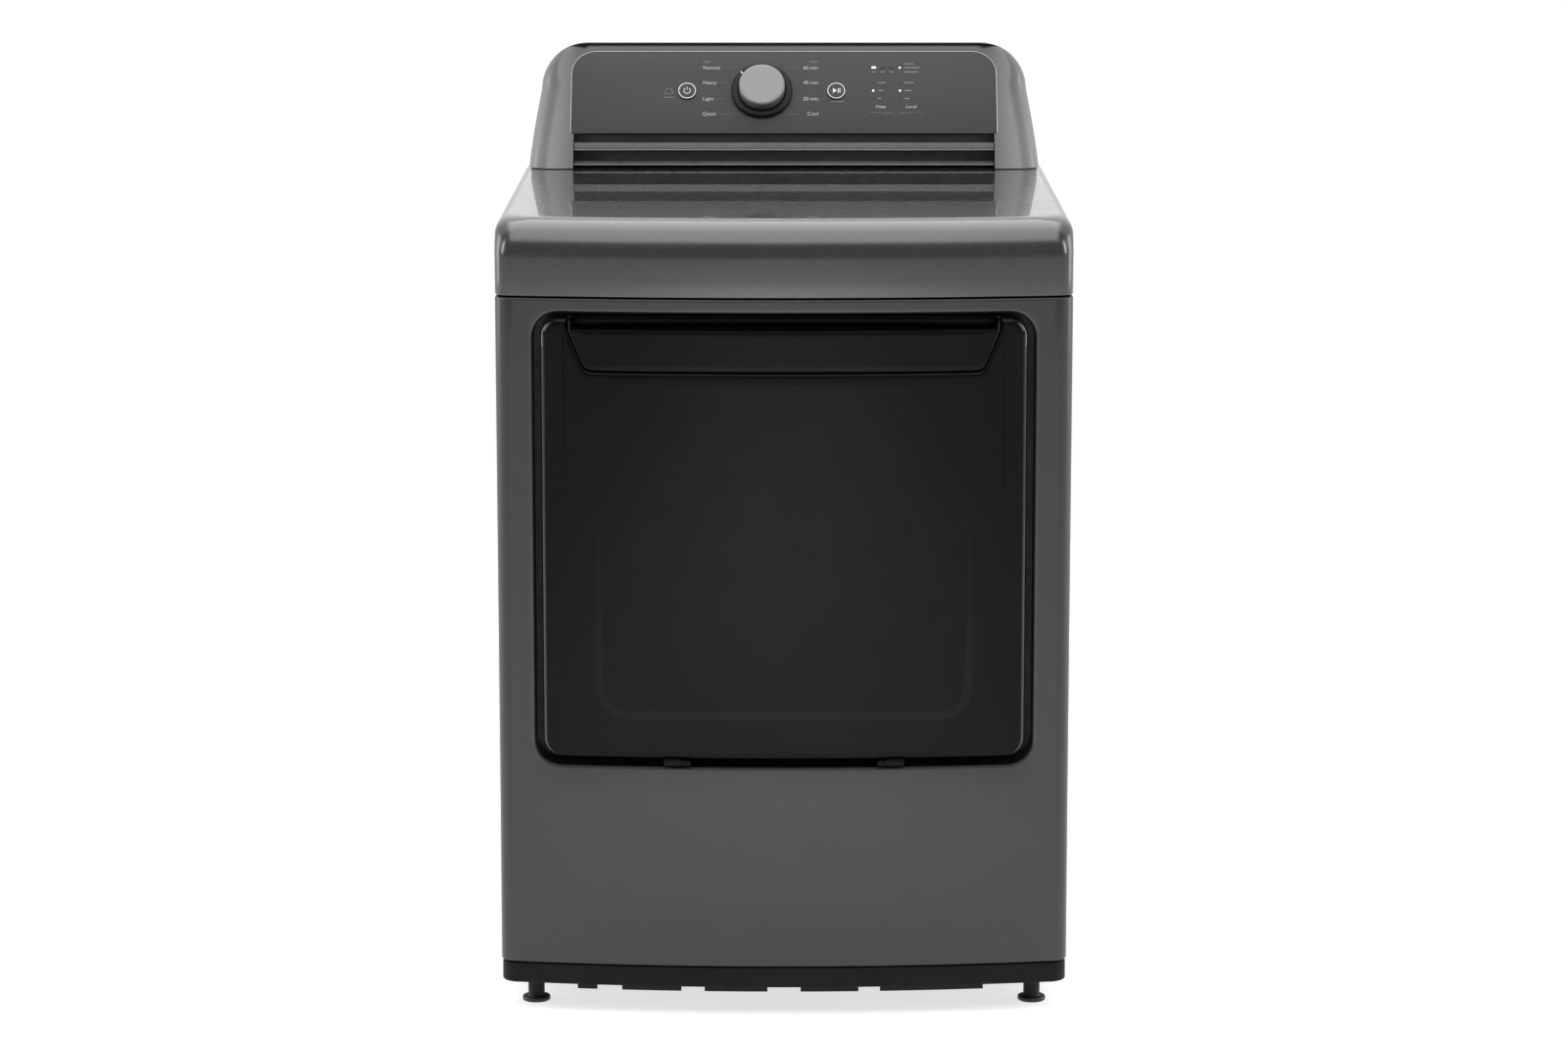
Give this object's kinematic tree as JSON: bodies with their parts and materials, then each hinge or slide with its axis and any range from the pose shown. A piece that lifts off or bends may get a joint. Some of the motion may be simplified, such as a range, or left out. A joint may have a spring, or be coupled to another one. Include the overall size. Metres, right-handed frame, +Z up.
{
  "type": "clothes dryer",
  "caption": "Front-loading clothes dryer with a bowed front, a drop-down black door, a turning drum and a control console leaning back at the rear edge.",
  "frame": {"origin": "middle of the footprint, on the floor", "axes": "+Z up, the door faces -Y, +X to the viewer's right"},
  "size_m": [0.686, 0.733, 1.121],
  "materials": {
    "graphite_paint": "satin metallic",
    "galvanised_steel": "dull zinc",
    "door_black": "high gloss",
    "black_plastic": "matt",
    "grey_plastic": "matt",
    "silver_trim": "satin",
    "console_face": "satin metallic",
    "stainless_steel": "brushed",
    "white_plastic": "semi-gloss",
    "black_rubber": "matt",
    "felt": "woven",
    "circuit_board": "semi-gloss"
  },
  "bodies": {
    "cabinet": {"base_pan": "galvanised_steel", "toe_skirt": "graphite_paint", "front_panel": "graphite_paint", "left_side_panel": "graphite_paint", "right_side_panel": "graphite_paint", "rear_panel": "galvanised_steel", "top_cover": "graphite_paint", "door_well": "black_plastic", "port_sleeve": "black_plastic", "door_latch": "black_plastic", "hinge_bracket_left": "stainless_steel", "hinge_bracket_right": "stainless_steel", "front_bulkhead": "galvanised_steel", "rear_bulkhead": "galvanised_steel", "front_felt_seal": "felt", "rear_felt_seal": "felt", "roller_shaft_left": "stainless_steel", "roller_shaft_right": "stainless_steel", "drum_belt": "black_rubber", "motor_stator": "galvanised_steel", "motor_mount": "galvanised_steel", "blower_housing": "grey_plastic", "exhaust_pipe": "galvanised_steel", "filter_chute": "grey_plastic", "lint_duct": "grey_plastic", "heater_box": "galvanised_steel", "terminal_block": "black_plastic", "terminal_cover": "galvanised_steel", "console_shell": "graphite_paint", "console_back_cover": "galvanised_steel", "console_louver": "black_plastic", "control_panel": "console_face", "control_board": "circuit_board"},
    "door": {"door_outer_panel": "door_black", "door_handle": "door_black", "door_inner_frame": "graphite_paint", "door_liner": "grey_plastic", "door_gasket": "black_rubber", "door_strike": "stainless_steel", "hinge_arm_left": "stainless_steel", "hinge_arm_right": "stainless_steel"},
    "drum": {"drum_shell": "stainless_steel", "drum_baffle_1": "white_plastic", "drum_baffle_2": "white_plastic", "drum_baffle_3": "white_plastic"},
    "motor_rotor": {"motor_rotor": "stainless_steel", "blower_wheel": "grey_plastic"},
    "idler_arm": {"idler_arm": "stainless_steel"},
    "idler_wheel": {"idler_wheel": "black_plastic"},
    "roller_left": {"drum_roller_left": "black_rubber"},
    "roller_right": {"drum_roller_right": "black_rubber"},
    "lint_filter": {"lint_filter": "grey_plastic"},
    "knob": {"knob_ring": "black_plastic", "knob_cap": "silver_trim"},
    "power_button": {"power_button": "silver_trim"},
    "start_button": {"start_button": "silver_trim"},
    "foot_front_left": {"foot_front_left": "black_plastic"},
    "foot_front_right": {"foot_front_right": "black_plastic"},
    "foot_rear_left": {"foot_rear_left": "black_plastic"},
    "foot_rear_right": {"foot_rear_right": "black_plastic"}
  },
  "joints": [
    {"name": "door_hinge", "type": "hinge", "parent": "cabinet", "child": "door", "pos_m": [0, -0.3595, 0.3145], "axis": [1, 0, 0], "range_deg": [0, 86]},
    {"name": "drum_spin", "type": "hinge", "parent": "cabinet", "child": "drum", "pos_m": [0, 0.012, 0.56], "axis": [0, 1, 0], "continuous": true},
    {"name": "motor_spin", "type": "hinge", "parent": "cabinet", "child": "motor_rotor", "pos_m": [0.09, -0.1, 0.158], "axis": [0, 1, 0], "continuous": true},
    {"name": "idler_swing", "type": "hinge", "parent": "cabinet", "child": "idler_arm", "pos_m": [0.23, 0.067, 0.11], "axis": [0, 1, 0], "range_deg": [0, 8], "stiffness_Nm_per_rad": 6, "springref_deg": -28.65},
    {"name": "idler_spin", "type": "hinge", "parent": "idler_arm", "child": "idler_wheel", "pos_m": [0.17251, 0.09, 0.21031], "axis": [0, 1, 0], "continuous": true},
    {"name": "roller_left_spin", "type": "hinge", "parent": "cabinet", "child": "roller_left", "pos_m": [-0.20276, 0.25, 0.27043], "axis": [0, 1, 0], "continuous": true},
    {"name": "roller_right_spin", "type": "hinge", "parent": "cabinet", "child": "roller_right", "pos_m": [0.20276, 0.25, 0.27043], "axis": [0, 1, 0], "continuous": true},
    {"name": "filter_slide", "type": "slide", "parent": "cabinet", "child": "lint_filter", "axis": [0, 0, 1], "range_m": [0, 0.18]},
    {"name": "knob_turn", "type": "hinge", "parent": "cabinet", "child": "knob", "pos_m": [-0.029, 0.31713, 1.06045], "axis": [0, -0.8387, 0.5446], "continuous": true},
    {"name": "power_press", "type": "slide", "parent": "cabinet", "child": "power_button", "axis": [0, 0.8387, -0.5446], "range_m": [0, 0.0015], "stiffness_N_per_m": 600, "springref_m": -0.002},
    {"name": "start_press", "type": "slide", "parent": "cabinet", "child": "start_button", "axis": [0, 0.8387, -0.5446], "range_m": [0, 0.0015], "stiffness_N_per_m": 600, "springref_m": -0.002},
    {"name": "foot_front_left_turn", "type": "hinge", "parent": "cabinet", "child": "foot_front_left", "pos_m": [-0.303, -0.2805, 0.003], "axis": [0, 0, 1], "continuous": true},
    {"name": "foot_front_right_turn", "type": "hinge", "parent": "cabinet", "child": "foot_front_right", "pos_m": [0.303, -0.2805, 0.003], "axis": [0, 0, 1], "continuous": true},
    {"name": "foot_rear_left_turn", "type": "hinge", "parent": "cabinet", "child": "foot_rear_left", "pos_m": [-0.303, 0.2945, 0.003], "axis": [0, 0, 1], "continuous": true},
    {"name": "foot_rear_right_turn", "type": "hinge", "parent": "cabinet", "child": "foot_rear_right", "pos_m": [0.303, 0.2945, 0.003], "axis": [0, 0, 1], "continuous": true}
  ],
  "couplings": [
    {"joint": "motor_spin", "follows": "drum_spin", "ratio": 26.25},
    {"joint": "idler_spin", "follows": "drum_spin", "ratio": -14.318},
    {"joint": "roller_left_spin", "follows": "drum_spin", "ratio": -8.2895},
    {"joint": "roller_right_spin", "follows": "drum_spin", "ratio": -8.2895}
  ]
}
